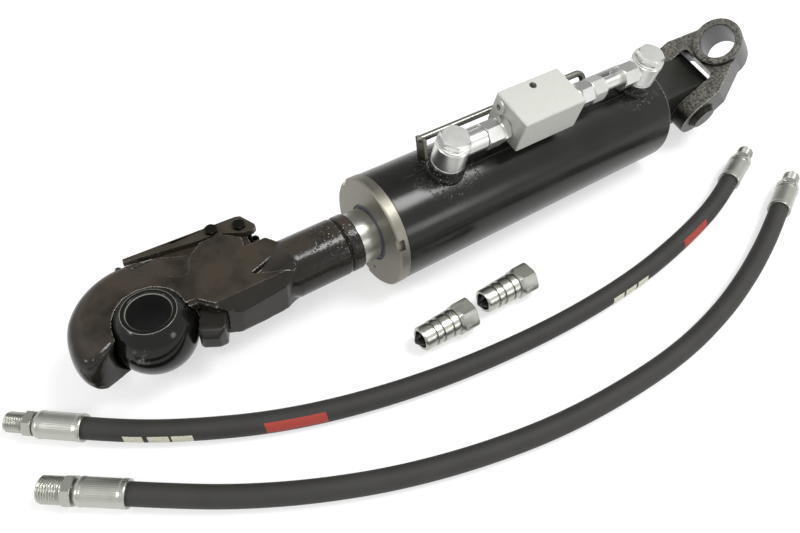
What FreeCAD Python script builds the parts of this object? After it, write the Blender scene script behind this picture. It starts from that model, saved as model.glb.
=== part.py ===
"""Hydraulic top link, category 3, with catch hook, pilot check valve, hoses and quick couplers.

The link lies on a floor, as it is delivered. Origin: the centre of the hook's ball.
+X runs along the cylinder to the knuckle eye, +Z is up. All sizes are millimetres and degrees.
"""
import FreeCAD, Part
import math
import os

V = FreeCAD.Vector
X = V(1, 0, 0)
Y = V(0, 1, 0)
Z = V(0, 0, 1)
ORIGIN = V(0, 0, 0)

# How the pieces lie
barrel_roll = 16.0          # the valve and the knuckle pin lean towards the front
hook_roll = 6.0             # the rod is turned a little, so the hook leans too
knuckle_raise = 48.0        # the knuckle stands up from the line of the cylinder

# Cylinder
bore_r = 40.0
wall = 8.0
rod_r = 22.5
stroke = 230.0
hook_to_gland = 188.0       # ball centre to the gland's face, rod pushed home
gland_face_r = 48.5
gland_flange = 9.4
gland_depth = 30.0
wiper_r = 2.7               # width of the wiper ring round the rod
rod_end_r = rod_r - 5.5     # the turned end that carries the piston
wiper_deep = 6.0            # the wiper's groove, from the gland's face
rod_seal_from = 7.0         # the rod seal's groove, from the flange's back
rod_seal_to = 17.0
seal_deep = 6.0             # depth of a seal's groove
seal_room = 0.1             # room round a seal in its groove
piston_length = 34.0
piston_seal_from = 11.0     # the piston seal's groove, from the piston's front
piston_seal_to = 22.0
piston_nut_r = 20.2
piston_nut_deep = 12.0
end_gap = 1.0               # left between the piston and the rear cap
cap_spigot = 10.6
cap_flange = 5.0
fit_gap = 0.05              # running fit of rod, piston and pins
slip_gap = 0.3              # between pieces that swing or slide past each other

barrel_r = bore_r + wall
barrel_x0 = hook_to_gland + gland_flange + 0.5
gland_end = hook_to_gland + gland_flange + gland_depth
cap_x0 = gland_end + stroke + piston_length + end_gap
barrel_x1 = cap_x0 + cap_spigot
cap_x1 = barrel_x1 + cap_flange
floor_z = -gland_face_r

# Rear lug and knuckle
lug_reach = 62.0            # cap face to the fork pin
lug_r = 29.0
lug_half = 19.6
fork_pin_r = 14.0
bush_wall = 4.0
arm_inner = lug_half + 0.4
arm_thick = 18.0
arm_end_r = 24.0
arm_depth = 20.0            # half depth of the arms near the eye
arm_kink = 26.0             # where the arms turn in towards the eye
eye_reach = 57.0            # fork pin to eye
eye_r = 22.8
eye_half = 28.0
eye_bore_r = 16.1
crotch = 33.6               # fork pin to the end of the space between the arms
crotch_round = 5.0
cap_r = 14.9                # pin head
cap_thick = 5.0

pin_x = cap_x1 + lug_reach
arm_outer = arm_inner + arm_thick

# Hook
ball_r = 32.0
ball_half = 25.0
ball_bore_r = 16.1
socket_gap = 0.3
hook_r = 60.0
hook_half = 20.0
hook_ledge = 13.5           # height of the shelf that the release lever lies on
hook_step = 3.0             # height of the step that the lever's spring stands on
shank_r = 24.5
shank_x1 = 158.5
pocket_deep = 1.6           # the shallow pocket in the flat beside the shelf
edge_break = 2.5            # bevel along the neck's top and bottom edges
ring_round = 14.0           # rounding of the ring's outer edges
pawl_angle = 61.4           # direction of the pawl's travel, from +X
pawl_width = 20.0
pawl_half = 11.0
pawl_tip = -13.0            # ends of the pawl, along its travel, from the point nearest the ball
pawl_tail = 80.0
collar_r = 24.3
collar_x0 = 160.0
collar_x1 = 170.5
weld_dip = 1.4              # how much the weld lies below the shank

# Release lever
lever_pivot = V(93.3, 46, 0)
lever_link = V(ball_r + 40.5, 52.5, 0)      # it draws the pawl, which lies against the ball
lever_thick = 5.0
lever_bolt_r = 3.6
lever_bolt_af = 9.5
lever_bolt_high = 2.8

# Ports and valve
front_port_x = 256.0
rear_port_x = 477.0
boss_r = 15.0
port_bore_r = 6.0
banjo_r = 14.5
banjo_half = 10.5
neck_r = 9.3                # thick part of a banjo eye's pipe
pipe_bore_r = 4.0           # the oil's way through the pipes of the line
banjo_bolt_r = 7.0
washer_thick = 1.5
washer_r = 14.2
line_z = 70.0               # height of the valve line above the cylinder's axis
head_af = 22.0
head_high = 6.0
stub_r = 6.0
block_x0 = 311.0
block_x1 = 377.0
block_half = 20.0
block_top = 93.0
block_low = 61.0
port_r = 7.6                # valve ports, 3/8 pipe thread
port_depth = 12.0
plug_r = 5.0                # the check valves' plugs in the block's ends
plug_y = 11.5
plug_drop = 8.5
nut_af = 20.0
nut_long = 15.0

# Guard bar beside the valve
bar_r = 3.0
bar_y = 29.0
bar_z = 58.0
bar_x0 = 249.0
bar_x1 = 432.0
bar_bend = 9.0

# Hoses and couplers
hose_r = 8.3
ferrule_r = 10.2
ferrule_length = 37.0
coupler_hex = 25.0
coupler_r = 11.2
coupler_length = 50.0
probe_r = 9.0


def frame(origin, axis):
    """A placement whose Z axis points along axis."""
    return FreeCAD.Placement(origin, FreeCAD.Rotation(Z, axis))


def rod(radius, start, end, axis=X, through=ORIGIN):
    """A cylinder along axis, from start to end measured from the point through."""
    return Part.makeCylinder(radius, end - start, through + axis * start, axis)


def turned(profile, axis=X, through=ORIGIN):
    """A turned piece. The profile holds (distance along the axis, radius) pairs."""
    points = [V(r, 0, a) for a, r in profile]
    face = Part.Face(Part.makePolygon(points + points[:1]))
    solid = face.revolve(ORIGIN, Z, 360)
    solid.Placement = frame(through, axis)
    return Part.makeSolid(solid) if solid.ShapeType != "Solid" else solid


def hexagon(across, start, end, axis=X, through=ORIGIN, turn=0.0, bevel=True):
    """A hexagonal prism with its corners turned off, as on a nut or a bolt head."""
    corner = across / 2 / math.cos(math.pi / 6)
    angles = [math.radians(60 * i + turn) for i in range(6)]
    points = [V(corner * math.cos(a), corner * math.sin(a), 0) for a in angles]
    prism = Part.Face(Part.makePolygon(points + points[:1])).extrude(Z * (end - start))
    if bevel:
        length = end - start
        edge = (corner - across / 2) * 0.58
        round_off = turned([(0, 0), (0, across / 2), (edge, corner), (length - edge, corner),
                            (length, across / 2), (length, 0)], Z)
        prism = prism.common(round_off)
    prism.Placement = frame(through + axis * start, axis)
    return prism


def outline(points, z0, z1):
    """A flat plate with straight sides."""
    corners = [V(p[0], p[1], z0) for p in points]
    return Part.Face(Part.makePolygon(corners + corners[:1])).extrude(Z * (z1 - z0))


def fused(first, *others):
    """One solid from several that touch or overlap."""
    return first.fuse(list(others)).removeSplitter()


def rolled(shape, angle):
    """The shape turned about the cylinder's axis."""
    shape = shape.copy()
    shape.rotate(ORIGIN, X, angle)
    return shape


def on_barrel(shape):
    """From the upright cylinder to the cylinder as it lies."""
    return rolled(shape, barrel_roll)


def on_hook(shape):
    """From the level hook to the hook as it lies."""
    return rolled(shape, hook_roll)


def on_knuckle(shape):
    """From the straight knuckle, its pin at the origin, to the knuckle as it lies."""
    shape = shape.copy()
    shape.rotate(ORIGIN, Y, -knuckle_raise)
    shape.translate(V(pin_x, 0, 0))
    return on_barrel(shape)


# Cylinder barrel and gland
def barrel_tube():
    tube = rod(barrel_r, barrel_x0, barrel_x1).cut(rod(bore_r, barrel_x0, barrel_x1))
    for x in (front_port_x, rear_port_x):
        tube = tube.cut(rod(port_bore_r, 0, barrel_r + 1, Z, V(x, 0, 0)))
    return tube


def gland():
    """The threaded gland: a flange outside, grooves for the wiper and the rod seal inside."""
    x0 = hook_to_gland
    x1 = x0 + gland_flange
    clear = rod_r + fit_gap
    body = turned([(x0, rod_r + wiper_r), (x0, gland_face_r - 1.2), (x0 + 1.2, gland_face_r),
                   (x1, gland_face_r), (x1, bore_r - fit_gap), (gland_end, bore_r - fit_gap),
                   (gland_end, clear), (x1 + rod_seal_to, clear), (x1 + rod_seal_to, rod_r + seal_deep),
                   (x1 + rod_seal_from, rod_r + seal_deep), (x1 + rod_seal_from, clear),
                   (x0 + wiper_deep, clear), (x0 + wiper_deep, rod_r + wiper_r)])
    for angle in (52, 172, 292):
        notch = Part.makeBox(7.0, 9.0, 7.0, V(x0 - 1, -4.5, gland_face_r - 4.0))
        body = body.cut(rolled(notch, angle))
    dot = rod(1.2, x0 - 1, x0 + 2, X, V(0, -17, -31))
    return body.cut(dot)


def gland_wiper():
    x0 = hook_to_gland
    outer = rod_r + wiper_r - fit_gap
    return turned([(x0 - 0.4, rod_r + fit_gap), (x0 - 0.4, rod_r + 0.9), (x0 + 0.7, rod_r + 1.6),
                   (x0 + 0.7, outer), (x0 + wiper_deep - fit_gap, outer),
                   (x0 + wiper_deep - fit_gap, rod_r + fit_gap)])


def rod_seal():
    x1 = hook_to_gland + gland_flange
    start, end = x1 + rod_seal_from + seal_room, x1 + rod_seal_to - seal_room
    outer = rod_r + seal_deep - seal_room
    return turned([(start, rod_r + fit_gap), (start, outer), (end, outer), (end, rod_r + fit_gap)])


def rear_end():
    """Cap and lug in one forging. The lug is a tongue with a round end that carries the bush."""
    cap = turned([(cap_x0, 0), (cap_x0, bore_r - fit_gap), (barrel_x1, bore_r - fit_gap),
                  (barrel_x1, barrel_r), (barrel_x1 + 1, barrel_r), (cap_x1, barrel_r - 4), (cap_x1, 0)])
    tongue = Part.makeBox(pin_x - cap_x1 + 2, 2 * lug_half, 2 * lug_r, V(cap_x1 - 2, -lug_half, -lug_r))
    end = rod(lug_r, -lug_half, lug_half, Y, V(pin_x, 0, 0))
    shoulder = turned([(cap_x1 - 1, 0), (cap_x1 - 1, barrel_r - 8), (cap_x1 + 1, barrel_r - 9),
                       (cap_x1 + 9, barrel_r - 20), (cap_x1 + 9, 0)])
    body = fused(cap, tongue, end, shoulder)
    bush_hole = rod(fork_pin_r + bush_wall, -lug_half - 1, lug_half + 1, Y, V(pin_x, 0, 0))
    return on_barrel(body.cut(bush_hole))


def lug_bush():
    bush = rod(fork_pin_r + bush_wall, -lug_half, lug_half, Y, V(pin_x, 0, 0))
    return on_barrel(bush.cut(rod(fork_pin_r + fit_gap, -lug_half, lug_half, Y, V(pin_x, 0, 0))))


# Knuckle, drawn with its pin at the origin and its arm along X
def knuckle_fork():
    """A wishbone forging: two arms from the pin that close on the eye."""
    plan = outline([(-arm_end_r, -arm_outer), (arm_kink, -arm_outer),
                    (eye_reach + 2, -eye_r + 0.3), (eye_reach + 2, eye_r - 0.3),
                    (arm_kink, arm_outer), (-arm_end_r, arm_outer)], -arm_end_r, arm_end_r)
    side_end = rod(arm_end_r, -arm_outer, arm_outer, Y)
    rise = arm_end_r - arm_depth
    side = Part.Face(Part.makePolygon([
        V(0, -arm_outer, -arm_end_r), V(arm_kink, -arm_outer, -arm_depth - rise / 3),
        V(eye_reach + eye_r, -arm_outer, -arm_depth + 1), V(eye_reach + eye_r, -arm_outer, arm_depth - 1),
        V(arm_kink, -arm_outer, arm_depth + rise / 3), V(0, -arm_outer, arm_end_r),
        V(0, -arm_outer, -arm_end_r)])).extrude(Y * (2 * arm_outer))
    body = plan.common(fused(side_end, side))
    bevel = 4.0
    for s in (-1, 1):
        for t in (-1, 1):
            corner = Part.Face(Part.makePolygon([
                V(-40, s * (arm_outer - bevel), t * (arm_end_r + 8)), V(-40, s * (arm_outer + 8), t * (arm_end_r - bevel)),
                V(-40, s * (arm_outer + 20), t * (arm_end_r + 20)),
                V(-40, s * (arm_outer - bevel), t * (arm_end_r + 8))])).extrude(X * 90)
            body = body.cut(corner)
    eye = rod(eye_r, -eye_half, eye_half, Z, V(eye_reach, 0, 0))
    rim = 1.2
    eye = eye.common(turned([(-eye_half, 0), (-eye_half, eye_r - rim), (-eye_half + rim, eye_r),
                             (eye_half - rim, eye_r), (eye_half, eye_r - rim), (eye_half, 0)],
                            Z, V(eye_reach, 0, 0)))
    body = fused(body, eye)
    deep, inside = crotch - crotch_round, arm_inner - crotch_round
    space = fused(outline([(-60, -arm_inner), (deep, -arm_inner), (deep, arm_inner), (-60, arm_inner)], -45, 45),
                  outline([(0, -inside), (crotch, -inside), (crotch, inside), (0, inside)], -45, 45),
                  rod(crotch_round, -45, 45, Z, V(deep, inside, 0)),
                  rod(crotch_round, -45, 45, Z, V(deep, -inside, 0)))
    body = body.cut(space)
    body = body.cut(rod(fork_pin_r, -arm_outer - 1, arm_outer + 1, Y))
    chamfer = turned([(-eye_half - 1, 0), (-eye_half - 1, eye_bore_r + 1.9), (-eye_half + 0.9, eye_bore_r),
                      (eye_half - 0.9, eye_bore_r), (eye_half + 1, eye_bore_r + 1.9), (eye_half + 1, 0)],
                     Z, V(eye_reach, 0, 0))
    body = body.cut(chamfer)
    grease = rod(2.0, -eye_r - 12, -eye_bore_r + 1, X, V(eye_reach, 0, 0))
    return on_knuckle(body.cut(grease))


def fork_pin():
    """The pin, pressed in the arms, with a head on its front end and a circlip groove behind."""
    shaft = rod(fork_pin_r, -arm_outer, arm_outer + 5, Y)
    face = -arm_outer - cap_thick
    head = turned([(face, 0), (face, cap_r - 3.2), (face + 0.5, cap_r - 2.7), (-arm_outer - 1.5, cap_r - 0.5),
                   (-arm_outer - 0.5, cap_r), (-arm_outer, cap_r), (-arm_outer, 0)], Y)
    ring = rod(fork_pin_r + 1, arm_outer + 1.6, arm_outer + 3.2, Y)
    groove = ring.cut(rod(fork_pin_r - 1.5, arm_outer + 1.6, arm_outer + 3.2, Y))
    return on_knuckle(fused(shaft, head).cut(groove))


def pin_circlip():
    band = rod(cap_r + 1.5, arm_outer + 1.65, arm_outer + 3.15, Y)
    band = band.cut(rod(fork_pin_r - 1.5, arm_outer + 1.65, arm_outer + 3.15, Y))
    mouth = Part.makeBox(5, 3, cap_r + 4, V(-2.5, arm_outer + 1, 0))
    return on_knuckle(band.cut(mouth))


# Piston and rod
def piston():
    """The piston, with a groove for its seal. The rod turns in it."""
    x1 = cap_x0 - end_gap
    x0 = x1 - piston_length
    start, end = x0 + piston_seal_from, x0 + piston_seal_to
    outer, nut_room = bore_r - fit_gap, piston_nut_r + slip_gap
    return turned([(x0, rod_end_r + fit_gap), (x0, outer - 1), (x0 + 1, outer),
                   (start, outer), (start, bore_r - seal_deep), (end, bore_r - seal_deep),
                   (end, outer), (x1 - 1, outer), (x1, outer - 1), (x1, nut_room),
                   (x1 - piston_nut_deep, nut_room), (x1 - piston_nut_deep, rod_end_r + fit_gap)])


def piston_seal():
    x0 = cap_x0 - end_gap - piston_length
    start, end = x0 + piston_seal_from + seal_room, x0 + piston_seal_to - seal_room
    inner = bore_r - seal_deep + fit_gap
    return turned([(start, inner), (start, bore_r - fit_gap), (end, bore_r - fit_gap), (end, inner)])


def piston_rod():
    """The chromed rod: a spigot in the weld collar in front, a turned end for the piston behind."""
    x1 = cap_x0 - end_gap
    step = x1 - piston_length - slip_gap
    return turned([(collar_x0 + 1, 0), (collar_x0 + 1, rod_r), (step, rod_r), (step, rod_end_r),
                   (x1 - 1, rod_end_r), (x1 - 1, 0)])


def piston_nut():
    """A round nut sunk in the piston's rear face."""
    x1 = cap_x0 - end_gap
    x0 = x1 - piston_nut_deep + slip_gap
    return turned([(x0, rod_end_r), (x0, piston_nut_r), (x1 - 1, piston_nut_r), (x1 - 1, rod_end_r)])


def weld_collar():
    """The weld bead that joins the shank to the rod, and the painted band behind it."""
    return turned([(collar_x0, 0), (collar_x0, shank_r - weld_dip), (collar_x0 + 1.5, collar_r),
                   (collar_x1 - 0.8, collar_r), (collar_x1, collar_r - 0.8),
                   (collar_x1, rod_r), (collar_x0 + 1, rod_r), (collar_x0 + 1, 0)])


# Catch hook
def pawl_frame():
    """Direction of the pawl's travel, the direction across it, and the foot of its centre line."""
    along = V(math.cos(math.radians(pawl_angle)), math.sin(math.radians(pawl_angle)), 0)
    across = V(along.y, -along.x, 0)
    foot = across * (ball_r + 1.0 + pawl_width / 2)
    return along, across, foot


def pawl_bar(start, end, half_width, half_height):
    """A square bar along the pawl's travel."""
    along, across, foot = pawl_frame()
    corners = [foot + along * s + across * t for s, t in
               ((start, -half_width), (end, -half_width), (end, half_width), (start, half_width))]
    flat = Part.Face(Part.makePolygon([c - Z * half_height for c in corners + corners[:1]]))
    return flat.extrude(Z * (2 * half_height))


def hook_ring():
    """The claw round the ball: a turned ring with rounded outer edges, cut to its length."""
    flat = hook_half - ring_round
    inner = ball_r * 0.72
    corner = hook_r - ring_round
    bulge = ring_round * math.sqrt(0.5)
    a, b, c, d = V(inner, 0, -hook_half), V(corner, 0, -hook_half), V(hook_r, 0, -flat), V(hook_r, 0, flat)
    e, f = V(corner, 0, hook_half), V(inner, 0, hook_half)
    edges = [Part.LineSegment(a, b), Part.Arc(b, V(corner + bulge, 0, -flat - bulge), c),
             Part.LineSegment(c, d), Part.Arc(d, V(corner + bulge, 0, flat + bulge), e),
             Part.LineSegment(e, f), Part.LineSegment(f, a)]
    ring = Part.Face(Part.Wire([edge.toShape() for edge in edges])).revolve(ORIGIN, Z, 360)
    claw = outline([(-20, -8.5), (-26, -9), (-46, -17), (-53, -16.5), (-58, -11), (-70, -2), (-70, 70), (36, 70), (36, 0),
                    (0, 0)], -hook_half - 1, hook_half + 1)
    return ring.common(claw)


def hook_neck(grow, z0, z1):
    """The solid part behind the ball, seen from above."""
    return outline([(10, -4 - grow), (34, -6 - grow), (44, -17 - grow), (60, -24 - grow), (99, -22 - grow),
                    (112, -16), (112, 14), (106, 23), (101 + grow, 37), (99.5 + grow, 50 + grow),
                    (92, 52 + grow), (62, 54 + grow), (40, 56.5 + grow), (14, 58 + grow), (2, 50)], z0, z1)


def hook_body():
    """Drop forged catch hook with its socket, the pawl's channel and the lever's shelf."""
    flat = hook_half - edge_break
    neck = fused(hook_neck(0, -flat, flat), hook_neck(-edge_break, -hook_half, hook_half))
    draft = Part.Face(Part.makePolygon([V(0, y, z) for y, z in (
        (-22, -hook_half), (-26, -8), (-25, 7), (-14.5, hook_half), (60, hook_half), (60, -hook_half),
        (-22, -hook_half))])).extrude(X * 120)
    body = fused(hook_ring(), neck.common(draft))
    shelf = outline([(-8, 70), (-8, 55), (28, 48), (49, 38), (59, 45), (76, 46), (89.6, 34.2), (87.2, 24), (125, 24),
                     (125, 70)], hook_ledge, hook_half + 1)
    corner = outline([(95.5, 27), (95.5, 38.5), (115, 38.5), (115, 27)], hook_step, hook_half + 1)
    pocket = outline([(4, 47.5), (10.5, 41), (20, 32), (30, 23.5), (34.5, 21), (40, 22.5), (43.5, 31), (49.5, 39.5),
                      (28, 49)], hook_half - pocket_deep, hook_half + 1)
    valley = outline([(79, -3), (114, 8), (114, -18), (93, -9.5)], hook_half - 5, hook_half + 1)
    body = body.cut(shelf).cut(corner).cut(pocket).cut(valley)
    shank = turned([(84, 0), (84, shank_r - 12), (112, shank_r), (shank_x1 - 1.2, shank_r),
                    (shank_x1, shank_r - weld_dip), (collar_x0, shank_r - weld_dip), (collar_x0, 0)])
    body = fused(body, shank)
    socket = fused(Part.makeSphere(ball_r + socket_gap),
                   rod(ball_r + socket_gap, 0, 90, V(0, -1, 0)))
    body = body.cut(socket)
    body = body.cut(pawl_bar(-40, 130, pawl_width / 2 + slip_gap, pawl_half + slip_gap))
    slot = pawl_bar(50, 130, pawl_width / 2 + slip_gap, hook_half)
    below_lever = outline([(20, 70), (20, 49.5), (90, 47), (90, 70)], 0, hook_ledge + 1)
    body = body.cut(slot.common(below_lever))
    body = body.cut(rod(lever_bolt_r, -4, hook_half + 2, Z, lever_pivot))
    stop = rod(2.8, 8, hook_ledge + 3, Z, V(-3, 55, 0))
    return on_hook(fused(body, stop))


def hook_ball():
    """The loose ball that takes the implement's pin."""
    ball = Part.makeSphere(ball_r).common(rod(ball_r + 1, -ball_half, ball_half, Z))
    bore = turned([(-ball_half - 1, 0), (-ball_half - 1, ball_bore_r + 2.5), (-ball_half + 1.5, ball_bore_r),
                   (ball_half - 1.5, ball_bore_r), (ball_half + 1, ball_bore_r + 2.5),
                   (ball_half + 1, 0)], Z)
    return on_hook(ball.cut(bore))


def latch_pawl():
    """The bar that shuts the mouth, with a bevelled nose and a slot for the lever's link bolt."""
    along, across, foot = pawl_frame()
    nose = pawl_half - 4.5
    side_view = [(pawl_tip, -nose), (pawl_tip + 5.5, -pawl_half), (pawl_tail, -pawl_half),
                 (pawl_tail, pawl_half), (pawl_tip + 5.5, pawl_half), (pawl_tip, nose)]
    corners = [foot - across * pawl_width + along * s + Z * h for s, h in side_view]
    tapered = Part.Face(Part.makePolygon(corners + corners[:1])).extrude(across * (2 * pawl_width))
    half = pawl_width / 2
    plan_view = [(pawl_tip, -half + 3), (pawl_tip + 3, -half), (pawl_tail, -half), (pawl_tail, half),
                 (pawl_tip + 6, half), (pawl_tip, half - 5)]
    flat = outline([((foot + along * s + across * t).x, (foot + along * s + across * t).y)
                    for s, t in plan_view], -pawl_half, pawl_half)
    bar = tapered.common(flat)
    at = (lever_link - foot).dot(along)
    side = (lever_link - foot).dot(across)
    slot_half = lever_bolt_r + 1.0
    corners = [foot + along * (at + s) + across * (side + t) for s, t in
               ((-slot_half, -4.2), (slot_half, -4.2), (slot_half, 8.8), (-slot_half, 8.8))]
    slot = Part.Face(Part.makePolygon([c + Z for c in corners + corners[:1]])).extrude(Z * 20)
    return on_hook(bar.cut(slot))


def release_lever():
    """The flat lever on the hook's back: it swings out and draws the pawl in."""
    z0 = hook_ledge + slip_gap
    tip = [(3, 61), (2, 57.5), (12, 56)]
    under_link = [(lever_link.x - 12.5, lever_link.y - 4.2), (lever_link.x + 3.5, lever_link.y - 5.5)]
    round_pivot = [(lever_pivot.x + x, lever_pivot.y + y) for x, y in (
        (-1.3, -7.2), (7.7, -9.5), (11.2, -7.5), (11.7, -4.0), (5.7, 9.5), (1.7, 11.0))]
    plate = outline(tip + under_link + round_pivot, z0, z0 + lever_thick)
    plate = plate.cut(rod(lever_bolt_r + fit_gap, z0 - 1, z0 + 9, Z, lever_pivot))
    plate = plate.cut(rod(lever_bolt_r, z0 - 1, z0 + 9, Z, lever_link))
    return on_hook(plate)


def lever_bolt(at, bottom, gap):
    """A low hexagon bolt through the lever. gap keeps its head clear of a piece that turns under it."""
    top = hook_ledge + slip_gap + lever_thick
    shank = rod(lever_bolt_r, bottom, top + gap + 1, Z, at)
    head = hexagon(lever_bolt_af, top + gap, top + gap + lever_bolt_high, Z, at, 15)
    return on_hook(fused(shank, head))


def lever_spring():
    """The lever's return spring, close wound, standing on the neck's step."""
    turns = 6
    top = hook_ledge - slip_gap
    pitch = (top - hook_step) / turns
    outer, inner = 3.6, 2.0
    profile = [(0, inner)]
    for i in range(turns):
        profile += [(i * pitch, outer - 0.5), (i * pitch + pitch / 2, outer)]
    profile += [(turns * pitch, outer - 0.5), (turns * pitch, inner)]
    return on_hook(turned(profile, Z, V(100.2, 32.6, hook_step)))


# Ports, banjo fittings and valve, drawn upright
def port_boss(x):
    """A boss welded on the barrel, shaped to its curve."""
    top = line_z - banjo_half - washer_thick
    boss = turned([(barrel_r - 6, 0), (barrel_r - 6, boss_r + 1.5), (barrel_r + 1.0, boss_r + 1.2),
                   (barrel_r + 3.5, boss_r), (top - 0.8, boss_r), (top, boss_r - 0.8), (top, 0)], Z, V(x, 0, 0))
    boss = boss.cut(rod(barrel_r, x - 30, x + 30))
    hole = rod(banjo_bolt_r, top - 8.5, top + 1, Z, V(x, 0, 0))
    return on_barrel(boss.cut(hole).cut(rod(port_bore_r - 2, barrel_r - 6, top, Z, V(x, 0, 0))))


def bonded_washer(x, low):
    ring = rod(washer_r, low, low + washer_thick, Z, V(x, 0, 0))
    return on_barrel(ring.cut(rod(banjo_bolt_r, low, low + washer_thick, Z, V(x, 0, 0))))


def banjo_bolt(x):
    low = line_z - banjo_half - washer_thick - 8.0
    top = line_z + banjo_half + washer_thick
    shank = rod(banjo_bolt_r, low, top + 1, Z, V(x, 0, 0))
    waist = rod(banjo_bolt_r + 1, line_z - 6, line_z + 6, Z, V(x, 0, 0))
    waist = waist.cut(rod(banjo_bolt_r - 1.6, line_z - 6, line_z + 6, Z, V(x, 0, 0)))
    drill = rod(3.0, low, line_z + 2, Z, V(x, 0, 0))
    cross = rod(2.5, -12, 12, X, V(x, 0, line_z))
    head = hexagon(head_af, top, top + head_high, Z, V(x, 0, 0), 10)
    return on_barrel(fused(shank, head).cut(waist).cut(drill).cut(cross))


def banjo_eye(x, side, thick, reach):
    """A ring with a stub pipe along the valve line: thick as far as the union nut, thin inside it."""
    rim = 1.2
    ring = turned([(-banjo_half, 0), (-banjo_half, banjo_r - rim), (-banjo_half + rim, banjo_r),
                   (banjo_half - rim, banjo_r), (banjo_half, banjo_r - rim), (banjo_half, 0)],
                  Z, V(x, 0, line_z))
    neck = turned([(0, 0), (0, neck_r), (thick, neck_r), (thick, stub_r), (reach, stub_r), (reach, 0)],
                  X * side, V(x, 0, line_z))
    body = fused(ring, neck)
    body = body.cut(rod(banjo_bolt_r + 0.02, -banjo_half - 1, banjo_half + 1, Z, V(x, 0, line_z)))
    return on_barrel(body.cut(rod(pipe_bore_r, 0, reach + 1, X * side, V(x, 0, line_z))))


def union_nut(x0, x1, turn):
    """A union nut over a stub."""
    nut = hexagon(nut_af, x0, x1, X, V(0, 0, line_z), turn)
    bore = rod(stub_r, x0 - 1, x1 + 1, X, V(0, 0, line_z))
    return on_barrel(nut.cut(bore))


def adapter(face_x, side, reach, turn):
    """An adapter screwed into the block: a round neck and a hexagon that the union nut butts on."""
    base = V(face_x, 0, line_z)
    out = X * side
    start = max(reach - 14.0, slip_gap)
    body = fused(hexagon(nut_af, start, reach - slip_gap, out, base, turn),
                 rod(port_r + 1.4, 0, start + 1, out, base),
                 rod(port_r - fit_gap, 1 - port_depth, 1, out, base))
    return on_barrel(body.cut(rod(pipe_bore_r, -port_depth, reach + 1, out, base)))


def line_pipe(x0, x1):
    pipe = rod(stub_r, x0, x1, X, V(0, 0, line_z)).cut(rod(pipe_bore_r, x0, x1, X, V(0, 0, line_z)))
    return on_barrel(pipe)


def valve_block():
    """An aluminium block: two cylinder ports in its ends, two supply ports behind, plugged bores above."""
    bevel = 0.8
    body = Part.makeBox(block_x1 - block_x0, 2 * block_half, block_top - block_low,
                        V(block_x0, -block_half, block_low))
    body = body.makeChamfer(bevel, body.Edges)
    middle = (block_x0 + block_x1) / 2
    for x, side in ((block_x0, -1), (block_x1, 1)):
        out = X * side
        body = body.cut(rod(port_r, -port_depth, 1, out, V(x, 0, line_z)))
        body = body.cut(rod(plug_r, -13, 1, out, V(x, plug_y, block_top - plug_drop)))
        body = body.cut(rod(3.5, -port_depth - 6, 0, out, V(x, 0, line_z)))
    for x in (block_x0 + 17, block_x1 - 17):
        body = body.cut(rod(port_r, block_half - port_depth, block_half + 1, Y, V(x, 0, line_z + 1)))
        body = body.cut(rod(3.5, 0, block_half, Y, V(x, 0, line_z)))
    body = body.cut(rod(3.3, block_low - 1, block_top + 1, Z, V(middle, 13.0, 0)))
    return on_barrel(body)


def check_plug(face_x, side):
    """A cartridge plug with a socket for a hexagon key."""
    base = V(face_x, plug_y, block_top - plug_drop)
    out = X * side
    body = fused(rod(plug_r, -12.5, 0.2, out, base), rod(plug_r + 1.2, 0, 2.2, out, base))
    return on_barrel(body.cut(hexagon(5.0, -2, 3, out, base, 0, False)))


# Guard bar
def bar_path():
    """From the bracket along the block, then a bend down to the barrel."""
    down = V(0, -bar_y, -bar_z).normalize()
    corner = V(bar_x1, bar_y, bar_z)
    reach = math.hypot(bar_y, bar_z) - barrel_r
    return V(bar_x0, bar_y, bar_z), corner, corner + down * reach


def guard_bar():
    start, corner, foot = bar_path()
    run, drop = (corner - start).normalize(), (foot - corner).normalize()
    bend_in, bend_out = corner - run * bar_bend, corner + drop * bar_bend
    centre = corner - run * bar_bend + drop * bar_bend
    mid = centre + (corner - centre).normalize() * bar_bend
    path = Part.Wire([Part.LineSegment(start, bend_in).toShape(), Part.Arc(bend_in, mid, bend_out).toShape(),
                      Part.LineSegment(bend_out, foot + drop * 1.5).toShape()])
    section = Part.Wire(Part.Circle(start, run, bar_r).toShape())
    bar = path.makePipeShell([section], True, False)
    bar = bar.cut(rod(barrel_r, bar_x0 - 20, bar_x1 + 20))
    ball = Part.makeSphere(bar_r, start)
    return on_barrel(fused(bar, ball))


def bar_bracket():
    """A small plate welded on the barrel that holds the bar's front end."""
    lean = math.degrees(math.atan2(bar_y, bar_z))
    plate = Part.makeBox(3.0, 12.0, 23.5, V(bar_x0 - 1.5, -6, barrel_r - 6))
    plate.rotate(ORIGIN, X, -lean)
    plate = plate.cut(rod(barrel_r, bar_x0 - 20, bar_x0 + 20))
    return on_barrel(plate.cut(rod(bar_r, bar_x0 - 20, bar_x0 + 20, X, V(0, bar_y, bar_z))))


# Hoses
def hose_points(name):
    """The hose's route on the floor, from the left ferrule's mouth to the right one's."""
    lie = floor_z + hose_r + 0.2
    up = floor_z + ferrule_r + 0.2
    if name == "hose_1":
        flat = [(-75, -19.4), (-48, -41.5), (-8, -67), (43, -94), (100, -115), (165, -131), (235, -141),
                (305, -145), (373, -142.8), (431, -134.8), (481, -124.8), (514, -115.2), (539, -105.5)]
    else:
        flat = [(-63, -90), (-40, -107.5), (-5, -132), (40, -158), (92, -182), (150, -201), (212, -214.5),
                (275, -220), (339, -219.7), (397, -211), (449, -197), (492, -181.8), (521, -169.8), (543.5, -159.8)]
    points = [V(x, y, lie) for x, y in flat]
    points[0].z = points[-1].z = up
    points[1].z = points[-2].z = up - 0.4
    points[2].z = points[-3].z = lie + 0.6
    return points


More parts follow.
